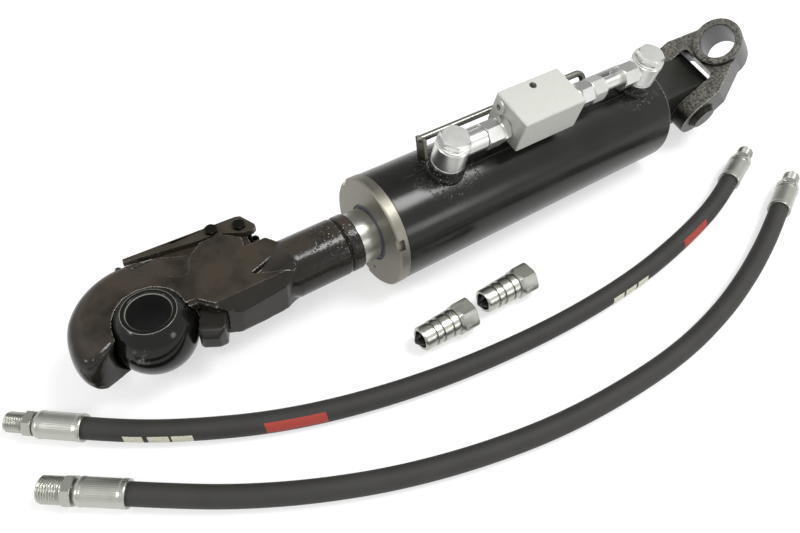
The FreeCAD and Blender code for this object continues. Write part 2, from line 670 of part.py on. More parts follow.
def hose(name):
    """A tube of straight runs and tangent arcs, each arc as large as its two runs allow."""
    points = hose_points(name)
    edges, start, radii = [], points[0], []
    for a, b, c in zip(points, points[1:], points[2:]):
        into, away = (b - a), (c - b)
        shorter = min(into.Length, away.Length)
        into.normalize()
        away.normalize()
        half = into.getAngle(away) / 2
        back = 0.45 * shorter
        radius = back / math.tan(half)
        radii.append(round(radius))
        first, last = b - into * back, b + away * back
        inward = (away - into).normalize()
        middle = b + inward * (radius / math.cos(half) - radius)
        edges.append(Part.LineSegment(start, first).toShape())
        edges.append(Part.Arc(first, middle, last).toShape())
        start = last
    edges.append(Part.LineSegment(start, points[-1]).toShape())
    path = Part.Wire(edges)
    section = Part.Wire(Part.Circle(points[0], points[1] - points[0], hose_r).toShape())
    tube = path.makePipeShell([section], True, False)
    expected = math.pi * hose_r ** 2 * path.Length
    print(name, "length", round(path.Length, 1), "radii", radii,
          "volume ratio", round(tube.Volume / expected, 5))
    return tube


def hose_ends(name):
    """Mouth of each ferrule and the direction its fitting points."""
    points = hose_points(name)
    return ((points[0], (points[0] - points[1]).normalize()),
            (points[-1], (points[-1] - points[-2]).normalize()))


def ferrule(mouth, out):
    """A crimped sleeve. It starts at the tube's end, so the tube butts against its inner step."""
    length = ferrule_length
    return turned([(0, 0), (0, ferrule_r), (length * 0.55, ferrule_r), (length - 6, ferrule_r - 0.7),
                   (length, ferrule_r - 2.6), (length, 0)], out, mouth)


def nipple(mouth, out, thread_r, hex_af, hex_long, thread_long):
    """The screwed end of the hose: a hexagon and a threaded spigot with a bore."""
    start = ferrule_length
    body = fused(hexagon(hex_af, start, start + hex_long, out, mouth, 0),
                 turned([(start + hex_long - 1, 0), (start + hex_long - 1, thread_r - 1.2),
                         (start + hex_long + 2, thread_r - 1.2), (start + hex_long + 2.8, thread_r),
                         (start + hex_long + thread_long - 1.5, thread_r),
                         (start + hex_long + thread_long, thread_r - 1.5),
                         (start + hex_long + thread_long, 0)], out, mouth))
    return body.cut(rod(4.5, start + 2, start + hex_long + thread_long + 1, out, mouth))


# Quick couplers, nose towards the hook
def coupler_body(nose):
    """The probe half of a quick coupler: nose, ball groove, waist and a hexagon with a screw port."""
    half_hex = coupler_hex / 2
    profile = [(0, 0), (0, probe_r - 1.6), (1.4, probe_r - 0.6), (9.0, probe_r + 0.3), (13.0, probe_r + 1.6),
               (14.0, probe_r + 1.6), (15.6, probe_r - 0.6), (18.6, probe_r - 0.6), (20.4, coupler_r),
               (29.0, coupler_r), (31.5, coupler_r - 1.0), (34.0, coupler_r), (coupler_length - 15, coupler_r),
               (coupler_length - 15, 0)]
    body = fused(turned(profile, X, nose),
                 hexagon(coupler_hex, coupler_length - 17, coupler_length, X, nose, 30))
    inside = turned([(-1, 0), (-1, 6.0), (8.0, 6.0), (9.0, 4.0), (10.0, 4.0), (13.0, 7.2), (30.0, 7.2),
                     (30.0, 5.0), (36.0, 5.0), (36.0, 9.5), (coupler_length + 1, 9.5),
                     (coupler_length + 1, 0)], X, nose)
    return body.cut(inside)


def coupler_poppet(nose):
    """The sprung valve in the coupler's nose: a cone seat, a stem in front and four guide fins."""
    cone = turned([(-1.5, 0), (-1.5, 2.6), (10.6, 2.6), (13.2, 6.4), (15.0, 6.4), (15.0, 0)], X, nose)
    stem = rod(2.5, 14, 22.0, X, nose)
    fin = 5.4
    fins = [Part.makeBox(3.4, 1.6, 2 * fin, nose + V(-0.6, -0.8, -fin)),
            Part.makeBox(3.4, 2 * fin, 1.6, nose + V(-0.6, -fin, -0.8))]
    return fused(cone, stem, *fins)


nose_1 = V(174.0, -95.0, floor_z + coupler_hex / 2 + 0.1)
nose_2 = V(240.0, -92.0, floor_z + coupler_hex / 2 + 0.1)
left_reach = 8.0
right_reach = 29.0
nut_end = rear_port_x - 15.5
rear_nut_long = 17.0
pipe_in_nut = 8.0

pieces = {
    "barrel_tube": on_barrel(barrel_tube()),
    "gland_nut": on_barrel(gland()),
    "rod_wiper": gland_wiper(),
    "rod_seal": rod_seal(),
    "rear_end": rear_end(),
    "lug_bush": lug_bush(),
    "knuckle_fork": knuckle_fork(),
    "fork_pin": fork_pin(),
    "pin_circlip": pin_circlip(),
    "piston": piston(),
    "piston_seal": piston_seal(),
    "piston_rod": piston_rod(),
    "piston_nut": piston_nut(),
    "weld_collar": weld_collar(),
    "hook_body": hook_body(),
    "hook_ball": hook_ball(),
    "latch_pawl": latch_pawl(),
    "release_lever": release_lever(),
    "lever_pivot_bolt": lever_bolt(lever_pivot, -4, slip_gap),
    "lever_link_bolt": lever_bolt(lever_link, 3, 0),
    "lever_spring": lever_spring(),
    "left_union_nut": union_nut(block_x0 - left_reach - nut_long, block_x0 - left_reach, 10),
    "left_adapter": adapter(block_x0, -1, left_reach, 40),
    "right_adapter": adapter(block_x1, 1, right_reach, 15),
    "right_union_nut": union_nut(block_x1 + right_reach, block_x1 + right_reach + nut_long, 0),
    "line_pipe": line_pipe(block_x1 + right_reach + slip_gap, nut_end - pipe_in_nut),
    "rear_union_nut": union_nut(nut_end - rear_nut_long, nut_end, 20),
    "valve_block": valve_block(),
    "front_check_plug": check_plug(block_x0, -1),
    "rear_check_plug": check_plug(block_x1, 1),
    "guard_bar": guard_bar(),
    "bar_bracket": bar_bracket(),
}
front_reach = block_x0 - left_reach - front_port_x
for end, x, side, thick, reach in (
        ("front", front_port_x, 1, front_reach - nut_long - slip_gap, front_reach - slip_gap),
        ("rear", rear_port_x, -1, rear_port_x - nut_end - slip_gap,
         rear_port_x - nut_end + pipe_in_nut - slip_gap)):
    pieces[end + "_port_boss"] = port_boss(x)
    pieces[end + "_lower_washer"] = bonded_washer(x, line_z - banjo_half - washer_thick)
    pieces[end + "_upper_washer"] = bonded_washer(x, line_z + banjo_half)
    pieces[end + "_banjo_bolt"] = banjo_bolt(x)
    pieces[end + "_banjo_eye"] = banjo_eye(x, side, thick, reach)
for name in ("hose_1", "hose_2"):
    pieces[name] = hose(name)
    for place, (mouth, out) in zip(("left", "right"), hose_ends(name)):
        big = name == "hose_2" and place == "left"
        pieces[name + "_" + place + "_ferrule"] = ferrule(mouth, out)
        pieces[name + "_" + place + "_nipple"] = nipple(
            mouth, out, 9.9 if big else 8.2, 22.0 if big else 19.0, 7.5, 19.0 if big else 15.0)
for number, nose in ((1, nose_1), (2, nose_2)):
    pieces["coupler_%d_body" % number] = coupler_body(nose)
    pieces["coupler_%d_poppet" % number] = coupler_poppet(nose)

os.makedirs("parts", exist_ok=True)
for name, shape in pieces.items():
    solid = shape.Solids[0] if len(shape.Solids) == 1 else shape
    print(name, "solids", len(shape.Solids), "volume", round(shape.Volume), "valid", shape.isValid())
    solid.exportStep("parts/" + name + ".step")
print("pieces", len(pieces))
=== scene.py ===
# %% [markdown]
# A hydraulic top link joins the top of a farm implement to a tractor. One end is a hook that catches
# a ball on the implement, the other is an eye for the tractor's pin, and between them a cylinder sets
# the length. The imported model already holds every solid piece. This lesson gives them their paint,
# plating and rubber, and remakes the few pieces that a lathe-and-saw solid can't show.

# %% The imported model
import math
import bpy
from mathutils import Matrix, Vector


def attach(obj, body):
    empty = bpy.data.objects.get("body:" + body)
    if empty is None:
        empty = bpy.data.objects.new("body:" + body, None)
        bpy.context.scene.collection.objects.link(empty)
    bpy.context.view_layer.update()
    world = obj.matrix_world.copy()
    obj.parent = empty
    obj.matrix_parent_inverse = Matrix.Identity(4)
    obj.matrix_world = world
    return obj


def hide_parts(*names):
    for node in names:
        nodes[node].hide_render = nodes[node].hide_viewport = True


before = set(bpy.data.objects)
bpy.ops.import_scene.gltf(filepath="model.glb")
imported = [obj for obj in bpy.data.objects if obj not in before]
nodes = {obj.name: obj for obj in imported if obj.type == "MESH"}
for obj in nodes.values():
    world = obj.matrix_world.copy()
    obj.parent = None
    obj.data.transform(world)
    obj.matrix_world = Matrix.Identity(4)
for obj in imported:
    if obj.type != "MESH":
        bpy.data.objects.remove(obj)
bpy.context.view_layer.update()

mm = 0.001
print("pieces in the packed model:", len(nodes))

# %% [markdown]
# The camera comes first, because everything later is judged through it. The picture was taken from
# above and in front of the hook. A camera is a place and three directions, so its matrix is built from
# right, up and back instead of from angles that would have to be guessed.

# %% Camera
right = Vector((0.823, -0.568, 0.0)).normalized()
back = Vector((-0.3967, -0.5748, 0.716)).normalized()
up = back.cross(right)
camera = bpy.data.objects.new("camera", bpy.data.cameras.new("camera"))
camera.data.sensor_width = 36.0
camera.data.lens = 33.3
camera.data.clip_start = 0.01
turn = Matrix((right, up, back)).transposed().to_4x4()
camera.matrix_world = Matrix.Translation((-0.0486, -0.3891, 0.425)) @ turn
bpy.context.scene.collection.objects.link(camera)
bpy.context.scene.camera = camera
print("camera looks down by", round(math.degrees(math.asin(back.z)), 1), "degrees")

# %% [markdown]
# Each hose is a rubber tube of fixed length that was coiled once and now lies on the floor in a wide
# bow. A NURBS curve with a round bevel is the natural way: the control points say where it goes, the
# spline keeps it smooth, and the bevel gives it its thickness. A swept mesh would need hundreds of points.

# %% Hoses
floor_z = -48.5 * mm
hose_r = 8.3 * mm
ferrule_r = 10.5 * mm
lie = floor_z + hose_r + 0.2 * mm
held = floor_z + ferrule_r + 0.2 * mm


def put(name, data):
    """Puts new mesh or curve data in the scene as an object."""
    piece = bpy.data.objects.new(name, data)
    bpy.context.scene.collection.objects.link(piece)
    return piece


def hose_line(name, flat):
    """A smooth round hose along control points on the floor. Its ends are held up by their ferrules."""
    heights = [lie] * len(flat)
    heights[0] = heights[-1] = held
    heights[1] = heights[-2] = held - 0.4 * mm
    heights[2] = heights[-3] = lie + 0.6 * mm
    points = [Vector((x * mm, y * mm, z)) for (x, y), z in zip(flat, heights)]
    curve = bpy.data.curves.new(name, "CURVE")
    curve.dimensions = "3D"
    spline = curve.splines.new("NURBS")
    spline.points.add(len(points) - 1)
    for control, point in zip(spline.points, points):
        control.co = (*point, 1.0)
    spline.order_u = 3
    spline.use_endpoint_u = True
    spline.use_smooth = True
    curve.resolution_u = 10
    curve.bevel_depth = hose_r
    curve.bevel_resolution = 7
    curve.use_fill_caps = True
    return put(name, curve), points


hoses = {}
hoses["hose_1"] = hose_line("hose_1_tube", [
    (-71, -22.6), (-47, -42.4), (-8, -67), (43, -94), (100, -115), (165, -131), (235, -141),
    (305, -145), (373, -142.8), (431, -134.8), (481, -124.8), (514, -115.2), (539, -105.5)])
hoses["hose_2"] = hose_line("hose_2_tube", [
    (-63, -90), (-40, -107.5), (-5, -132), (40, -158), (92, -182), (150, -201), (212, -214.5),
    (275, -220), (339, -219.7), (397, -211), (449, -197), (492, -181.8), (521, -169.8), (543.5, -159.8)])
print("hoses:", {name: len(points) for name, (piece, points) in hoses.items()})

# %% [markdown]
# Blender works with light, which is linear, but a colour is picked in sRGB. So each colour is
# written as the hex value that was picked, and one function turns it to linear.

# %% Colours and node helper
def colour(code):
    """An sRGB hex colour as linear red, green, blue, alpha."""
    channels = [int(code[i:i + 2], 16) / 255 for i in (1, 3, 5)]
    return tuple(c / 12.92 if c <= 0.04045 else ((c + 0.055) / 1.055) ** 2.4 for c in channels) + (1.0,)


def add(tree, kind, links={}, **settings):
    """Adds a node. Settings are its properties; links fill its sockets with a value or another socket."""
    made = tree.nodes.new("ShaderNode" + kind)
    for name, value in settings.items():
        setattr(made, name, value)
    for key, value in links.items():
        socket = made.inputs[key]
        if isinstance(value, bpy.types.NodeSocket):
            tree.links.new(value, socket)
        else:
            socket.default_value = value
    return made


def start(name, **surface):
    """A new material with its surface shader. Keywords fill the shader's plain sockets."""
    made = bpy.data.materials.new(name)
    made.use_nodes = True
    tree = made.node_tree
    shader = tree.nodes["Principled BSDF"]
    for key, value in surface.items():
        shader.inputs[key.replace("_", " ")].default_value = value
    place = add(tree, "TexCoord").outputs["Object"]
    return made, tree, shader, place


def per_mm(size):
    """The scale that gives a pattern this size in millimetres, since textures count in metres."""
    return 1.0 / (size * mm)


print("sample colour", [round(c, 3) for c in colour("#373733")])

# %% [markdown]
# Where two pieces were welded, drops of metal flew off and froze on the steel before it was painted. They
# could be modelled one by one, but a few hundred tiny balls cost far more than they show. A Voronoi
# pattern gives round beads instead, a noise leaves gaps between them, and the distance from the weld
# fades them out.

# %% Weld spatter
def spatter_over(tree, shader, place, welds, reach):
    """Lays beads round each weld over the colour and the bump that the shader already has, with a painted glint on
    their tops.
    """
    drops = add(tree, "TexVoronoi", {"Vector": place, "Scale": per_mm(2.2), "Randomness": 1.0})
    bead = add(tree, "MapRange", {"Value": drops.outputs["Distance"], "From Min": 0.0, "From Max": 0.42,
                                  "To Min": 1.0, "To Max": 0.0})
    near = 0.0
    for weld in welds:
        gap = add(tree, "VectorMath", {0: place, 1: weld}, operation="DISTANCE")
        here = add(tree, "MapRange", {"Value": gap.outputs["Value"], "From Min": reach * 0.35,
                                      "From Max": reach, "To Min": 1.0, "To Max": 0.0})
        near = add(tree, "Math", {0: here.outputs[0], 1: near}, operation="MAXIMUM").outputs[0]
    gaps = add(tree, "TexNoise", {"Vector": place, "Scale": per_mm(4), "Detail": 2.0})
    patchy = add(tree, "MapRange", {"Value": gaps.outputs["Fac"], "From Min": 0.42, "From Max": 0.56})
    chosen = add(tree, "Math", {0: near, 1: patchy.outputs[0]}, operation="MULTIPLY")
    height = add(tree, "Math", {0: bead.outputs[0], 1: chosen.outputs[0]}, operation="MULTIPLY").outputs[0]
    under, paint = (shader.inputs[key].links[0].from_socket for key in ("Normal", "Base Color"))
    rise = add(tree, "Bump", {"Height": height, "Strength": 0.9, "Distance": 0.8 * mm, "Normal": under})
    tree.links.new(rise.outputs["Normal"], shader.inputs["Normal"])
    # Bead tops are tinted pale: a painted glint, since the beads lie under the paint.
    bright_mark = add(tree, "MapRange", {"Value": height, "From Min": 0.25, "From Max": 0.7, "To Max": 0.8})
    tint = add(tree, "Mix", {"Factor": bright_mark.outputs[0], "A": paint, "B": colour("#b0b0a6")}, data_type="RGBA")
    tree.links.new(tint.outputs["Result"], shader.inputs["Base Color"])


lean = math.radians(16)
port_welds = [Vector((x * mm, -48 * mm * math.sin(lean), 48 * mm * math.cos(lean))) for x in (256, 477)]
shank_weld = [Vector((x * mm, -9 * mm, 23 * mm)) for x in (146, 158)]
print("welds with spatter:", len(port_welds) + len(shank_weld))

# %% [markdown]
# The hook and the shank are drop-forged steel under black alkyd enamel. Forging leaves a skin that is
# never quite flat, the enamel runs smooth over it, and every proud edge has lost its paint in handling.
# Noise at two sizes makes the skin, and the Geometry node's pointiness finds the edges. That needs a dense
# mesh, which the rounding of the later steps gives. The pale colour on the edges is partly that bare steel
# and partly a painted highlight, and the paler brown on faces that look up is partly dust and partly
# painted light from above.

# %% Black enamel on a forging
def forged_enamel(name, dark, light, dust_and_top_light, edge_wear_and_highlight, pale_edge_from, rough, welds=(), reach=1.0):
    """Enamel on forged steel: two blacks, dust and painted light on top, edges of wear and painted highlight above
    this pointiness.
    """
    made, tree, shader, place = start(name, IOR=1.5, Specular_IOR_Level=0.3)
    blotch = add(tree, "TexNoise", {"Vector": place, "Scale": per_mm(26), "Detail": 4.0, "Roughness": 0.6})
    skin = add(tree, "TexNoise", {"Vector": place, "Scale": per_mm(3.0), "Detail": 3.0})
    scuff = add(tree, "TexNoise", {"Vector": place, "Scale": per_mm(1.4), "Detail": 2.0})
    paint = add(tree, "Mix", {"Factor": blotch.outputs["Fac"], "A": colour(dark), "B": colour(light)},
                data_type="RGBA")
    normal = add(tree, "SeparateXYZ", {0: add(tree, "TexCoord").outputs["Normal"]})
    # Faces that look up turn a paler brown: partly dust, partly painted light from above.
    lying = add(tree, "MapRange", {"Value": normal.outputs["Z"], "From Min": 0.84, "From Max": 0.98})
    patchy = add(tree, "MapRange", {"Value": blotch.outputs["Fac"], "From Min": 0.25, "From Max": 0.6})
    dust_and_lit_top = add(tree, "Math", {0: lying.outputs[0], 1: patchy.outputs[0]}, operation="MULTIPLY")
    paint = add(tree, "Mix", {"Factor": dust_and_lit_top.outputs[0], "A": paint.outputs["Result"], "B": colour(dust_and_top_light)},
                data_type="RGBA")
    # Edges above the pointiness turn pale: partly worn bare steel, partly a painted highlight.
    sharp = add(tree, "NewGeometry").outputs["Pointiness"]
    ragged = add(tree, "Math", {0: scuff.outputs["Fac"], 1: 0.06, 2: sharp}, operation="MULTIPLY_ADD")
    lightened = add(tree, "MapRange", {"Value": ragged.outputs[0], "From Min": pale_edge_from, "From Max": pale_edge_from + 0.03})
    mixed = add(tree, "Mix", {"Factor": lightened.outputs[0], "A": paint.outputs["Result"], "B": colour(edge_wear_and_highlight)},
                data_type="RGBA")
    tree.links.new(mixed.outputs["Result"], shader.inputs["Base Color"])
    gloss = add(tree, "MapRange", {"Value": blotch.outputs["Fac"], "To Min": rough - 0.08, "To Max": rough + 0.12})
    tree.links.new(gloss.outputs[0], shader.inputs["Roughness"])
    deep = add(tree, "Bump", {"Height": blotch.outputs["Fac"], "Strength": 0.35, "Distance": 1.6 * mm})
    fine = add(tree, "Bump", {"Height": skin.outputs["Fac"], "Strength": 0.2, "Distance": 0.25 * mm,
                              "Normal": deep.outputs["Normal"]})
    tree.links.new(fine.outputs["Normal"], shader.inputs["Normal"])
    if welds:
        spatter_over(tree, shader, place, welds, reach)
    return made


# Each forging takes two blacks, then dust with painted top light, then its worn and painted-highlight edge colour.
hook_enamel = forged_enamel("black_enamel_on_forging", "#12100d", "#231f19", "#38322a", "#8a877d", 0.555, 0.16,
                            shank_weld, 22 * mm)
pawl_enamel = forged_enamel("black_enamel_on_pawl", "#0e0d0b", "#1a1814", "#1a1814", "#6f6c63", 0.56, 0.26)
cap_enamel = forged_enamel("black_enamel_on_end_cap", "#121210", "#22221e", "#22221e", "#6f6e66", 0.57, 0.3)
lever_enamel = forged_enamel("black_enamel_on_plate", "#1c1813", "#332c22", "#39342a", "#7a776e", 0.57, 0.34)
print("forging enamels made")

# %% [markdown]
# The barrel is cold-drawn tube, so its enamel lies flatter than on the forgings and mirrors long soft
# streaks. It takes the same spatter round its two welded ports.

# %% Black enamel on the drawn tube
barrel_enamel, tree, shader, place = start("black_enamel_on_drawn_tube", IOR=1.5, Specular_IOR_Level=0.3)
cloud = add(tree, "TexNoise", {"Vector": place, "Scale": per_mm(40), "Detail": 3.0})
paint = add(tree, "Mix", {"Factor": cloud.outputs["Fac"], "A": colour("#12120f"), "B": colour("#1d1d19")},
            data_type="RGBA")
tree.links.new(paint.outputs["Result"], shader.inputs["Base Color"])
gloss = add(tree, "MapRange", {"Value": cloud.outputs["Fac"], "To Min": 0.14, "To Max": 0.3})
tree.links.new(gloss.outputs[0], shader.inputs["Roughness"])
flat = add(tree, "Bump", {"Height": cloud.outputs["Fac"], "Strength": 0.25, "Distance": 1.0 * mm})
tree.links.new(flat.outputs["Normal"], shader.inputs["Normal"])
spatter_over(tree, shader, place, port_welds, 36 * mm)
print("barrel enamel made")

# %% [markdown]
# The ball was dipped and has the deepest gloss of all, with rubbed patches where it has turned in its
# socket, and bare rings at the mouth of its bore where pins have knocked it. Rings need a distance from the
# bore's axis, so the axis is a vector: the dot product with it is the height, the cross product the radius.

# %% Gloss enamel on the ball
ball_enamel, tree, shader, place = start("gloss_black_enamel_on_ball", IOR=1.5, Specular_IOR_Level=0.3)
hook_lean = math.radians(6)
bore_axis = Vector((0, -math.sin(hook_lean), math.cos(hook_lean)))
high = add(tree, "VectorMath", {0: place, 1: bore_axis}, operation="DOT_PRODUCT").outputs["Value"]
turned_to = add(tree, "VectorMath", {0: place, 1: bore_axis}, operation="CROSS_PRODUCT")
radius = add(tree, "VectorMath", {0: turned_to.outputs[0]}, operation="LENGTH").outputs["Value"]
rub = add(tree, "TexNoise", {"Vector": place, "Scale": per_mm(9), "Detail": 6.0, "Roughness": 0.7})
rubbed = add(tree, "MapRange", {"Value": rub.outputs["Fac"], "From Min": 0.5, "From Max": 0.6})
knock = add(tree, "VectorMath", {0: place, 1: (-17.6 * mm, -26.3 * mm, 8.4 * mm)}, operation="DISTANCE")
patch = add(tree, "MapRange", {"Value": knock.outputs["Value"], "From Min": 9 * mm, "From Max": 4 * mm})
lightened = add(tree, "Math", {0: rubbed.outputs[0], 1: patch.outputs[0]}, operation="MULTIPLY").outputs[0]
end_face = add(tree, "Math", {0: high, 1: 23.4 * mm}, operation="GREATER_THAN")
for middle, half in ((16.5, 0.3), (19.9, 0.25)):
    ring = add(tree, "Math", {0: radius, 1: middle * mm, 2: half * mm}, operation="COMPARE")
    bright_mark = add(tree, "Math", {0: ring.outputs[0], 1: end_face.outputs[0]}, operation="MULTIPLY")
    lightened = add(tree, "Math", {0: lightened, 1: bright_mark.outputs[0]}, operation="MAXIMUM").outputs[0]
paint = add(tree, "Mix", {"Factor": lightened, "A": colour("#0c0d0a"), "B": colour("#6f6e66")}, data_type="RGBA")
tree.links.new(paint.outputs["Result"], shader.inputs["Base Color"])
gloss = add(tree, "MapRange", {"Value": rub.outputs["Fac"], "To Min": 0.05, "To Max": 0.2})
# Inside the bore the paint is dull, because pins rub it.
in_bore = add(tree, "Math", {0: radius, 1: 16.3 * mm}, operation="LESS_THAN")
dull = add(tree, "Math", {0: in_bore.outputs[0], 1: 0.6, 2: gloss.outputs[0]}, operation="MULTIPLY_ADD")
tree.links.new(dull.outputs[0], shader.inputs["Roughness"])
print("ball enamel made")

# %% [markdown]
# The knuckle is a casting. Its two broad faces keep the grain of the sand that they were poured in: light
# grey skin with black pits between. Its sides are smoother and darker, and its rims are rubbed bright. The
# grain is a millimetre or two across, drawn by a noise whose low parts are the pits.

# %% Primer on a sand casting
cast_primer, tree, shader, place = start("grey_primer_on_sand_casting", IOR=1.5, Specular_IOR_Level=0.28)
grain = add(tree, "TexNoise", {"Vector": place, "Scale": per_mm(2.2), "Detail": 5.0, "Roughness": 0.7})
pits = add(tree, "MapRange", {"Value": grain.outputs["Fac"], "From Min": 0.36, "From Max": 0.62})
normal = add(tree, "TexCoord").outputs["Normal"]
knuckle_face = Vector((-0.743, -0.184, 0.643)).normalized()
facing = add(tree, "VectorMath", {0: normal, 1: knuckle_face}, operation="DOT_PRODUCT")
either = add(tree, "Math", {0: facing.outputs["Value"]}, operation="ABSOLUTE")
broad = add(tree, "MapRange", {"Value": either.outputs[0], "From Min": 0.86, "From Max": 0.97})
# The walls inside the fork are broad too, but they keep the smoother side finish and its dark colour, which there is
# painted shade between the arms.
offset = add(tree, "VectorMath", {0: place, 1: knuckle_face}, operation="DOT_PRODUCT")
from_middle = add(tree, "Math", {0: offset.outputs["Value"], 1: -423.7 * mm}, operation="SUBTRACT")
depth = add(tree, "Math", {0: from_middle.outputs[0]}, operation="ABSOLUTE")
clear_of_fork_shade = add(tree, "MapRange", {"Value": depth.outputs[0], "From Min": 15 * mm, "From Max": 18 * mm})
flat_face = add(tree, "Math", {0: broad.outputs[0], 1: clear_of_fork_shade.outputs[0]}, operation="MULTIPLY")
skin = add(tree, "Mix", {"Factor": pits.outputs[0], "A": colour("#1b1a17"), "B": colour("#716f66")},
           data_type="RGBA")
primer = add(tree, "Mix", {"Factor": flat_face.outputs[0], "A": colour("#191814"), "B": skin.outputs["Result"]},
             data_type="RGBA")
sharp = add(tree, "NewGeometry").outputs["Pointiness"]
ragged = add(tree, "Math", {0: grain.outputs["Fac"], 1: 0.04, 2: sharp}, operation="MULTIPLY_ADD")
lightened = add(tree, "MapRange", {"Value": ragged.outputs[0], "From Min": 0.54, "From Max": 0.57})
mixed = add(tree, "Mix", {"Factor": lightened.outputs[0], "A": primer.outputs["Result"], "B": colour("#a3a197")},
            data_type="RGBA")
tree.links.new(mixed.outputs["Result"], shader.inputs["Base Color"])
gloss = add(tree, "MapRange", {"Value": flat_face.outputs[0], "To Min": 0.3, "To Max": 0.42})
tree.links.new(gloss.outputs[0], shader.inputs["Roughness"])
strength = add(tree, "MapRange", {"Value": flat_face.outputs[0], "To Min": 0.15, "To Max": 0.7})
bump = add(tree, "Bump", {"Height": grain.outputs["Fac"], "Strength": strength.outputs[0], "Distance": 0.8 * mm})
tree.links.new(bump.outputs["Normal"], shader.inputs["Normal"])
print("casting primer made")

# %% [markdown]
# Bare metals differ mostly in how they were finished. The rod is ground and hard chromed, nearly a mirror.
# The gland is turned on a lathe, so fine rings run round the axis. Zinc plating is bright but a little
# cloudy, and the block is milled aluminium, anodised to a pale satin. One function covers them.

# %% Bare and plated metals
def metal(name, code, rough, cloudy, ring_mm=0.0, ring_depth=0.0):
    made, tree, shader, place = start(name, Metallic=1.0)
    cloud = add(tree, "TexNoise", {"Vector": place, "Scale": per_mm(6), "Detail": 4.0})
    base = colour(code)
    dull = tuple(c * (1 - cloudy) for c in base[:3]) + (1.0,)
    tint = add(tree, "Mix", {"Factor": cloud.outputs["Fac"], "A": dull, "B": base}, data_type="RGBA")
    tree.links.new(tint.outputs["Result"], shader.inputs["Base Color"])
    gloss = add(tree, "MapRange", {"Value": cloud.outputs["Fac"], "To Min": rough * 0.8, "To Max": rough * 1.25})
    tree.links.new(gloss.outputs[0], shader.inputs["Roughness"])
    height, depth = cloud.outputs["Fac"], 0.02
    if ring_mm:
        parts = add(tree, "SeparateXYZ", {0: place})
        across = add(tree, "CombineXYZ", {"X": parts.outputs["Y"], "Y": parts.outputs["Z"]})
        out = add(tree, "VectorMath", {0: across.outputs[0]}, operation="LENGTH")
        spread = add(tree, "CombineXYZ", {"X": out.outputs["Value"], "Y": parts.outputs["X"]})
        rings = add(tree, "TexNoise", {"Vector": spread.outputs[0], "Scale": per_mm(ring_mm), "Detail": 2.0})
        height, depth = rings.outputs["Fac"], ring_depth
    bump = add(tree, "Bump", {"Height": height, "Strength": depth, "Distance": 0.2 * mm})
    tree.links.new(bump.outputs["Normal"], shader.inputs["Normal"])
    return made


hard_chrome = metal("ground_hard_chrome", "#b0b1aa", 0.3, 0.05, 0.35, 0.08)
turned_steel = metal("turned_steel", "#89867c", 0.42, 0.15, 0.45, 0.3)
zinc_plate = metal("bright_zinc_plate", "#dddeda", 0.3, 0.06)
crimped_zinc = metal("zinc_on_crimped_sleeve", "#b6b8af", 0.3, 0.1)
bar_steel = metal("drawn_steel_bar", "#8d8e86", 0.3, 0.2)
milled_aluminium = metal("satin_anodised_aluminium", "#c2c3bd", 0.58, 0.04)
black_oxide = metal("black_oxide_on_bolt", "#35332e", 0.3, 0.3)
bearing_bronze = metal("bearing_bronze", "#b08a50", 0.35, 0.1)
print("metals:", [m.name for m in (hard_chrome, turned_steel, zinc_plate, milled_aluminium, black_oxide)])

# %% [markdown]
# Hose cover is extruded synthetic rubber that was cured under a wrap of cloth tape, which leaves a faint
# weave and a slow spiral. Where the maker printed the hose, plain blocks of colour are kept and the
# words are not. The blocks are found by their distance along the floor, since the hose never turns back on itself.

# %% Rubber hose cover
hose_rubber, tree, shader, place = start("wrapped_rubber_hose_cover", IOR=1.5)
dust = add(tree, "TexNoise", {"Vector": place, "Scale": per_mm(30), "Detail": 4.0})
weave = add(tree, "TexNoise", {"Vector": place, "Scale": per_mm(0.9), "Detail": 2.0})
rubber = add(tree, "Mix", {"Factor": dust.outputs["Fac"], "A": colour("#1b1a17"), "B": colour("#2d2c28")},
             data_type="RGBA").outputs["Result"]
parts = add(tree, "SeparateXYZ", {0: place})
facing = add(tree, "SeparateXYZ", {0: add(tree, "TexCoord").outputs["Normal"]})
front = add(tree, "Math", {0: facing.outputs["Y"], 1: 0.0}, operation="LESS_THAN")
# Only the hose beside the link is printed. The other one lies further out, past this line.
run_out = add(tree, "Math", {0: parts.outputs["X"], 1: -40 * mm}, operation="ADD")
bow = add(tree, "Math", {0: run_out.outputs[0], 1: -0.18, 2: -112 * mm}, operation="MULTIPLY_ADD")
inner_hose = add(tree, "Math", {0: parts.outputs["Y"], 1: bow.outputs[0]}, operation="GREATER_THAN")
beyond = add(tree, "Math", {0: parts.outputs["Y"], 1: -165 * mm}, operation="GREATER_THAN")
flaked = add(tree, "MapRange", {"Value": weave.outputs["Fac"], "From Min": 0.28, "From Max": 0.4, "To Max": 0.9})
cream, red = "#c3c1ae", "#9c3327"
printed = {}
for code, low, high in ((cream, -0.6, 0.45), (red, -0.25, 0.8)):
    band = add(tree, "Math", {0: facing.outputs["Z"], 1: (low + high) / 2, 2: (high - low) / 2}, operation="COMPARE")
    printed[code] = add(tree, "Math", {0: band.outputs[0], 1: front.outputs[0]}, operation="MULTIPLY")
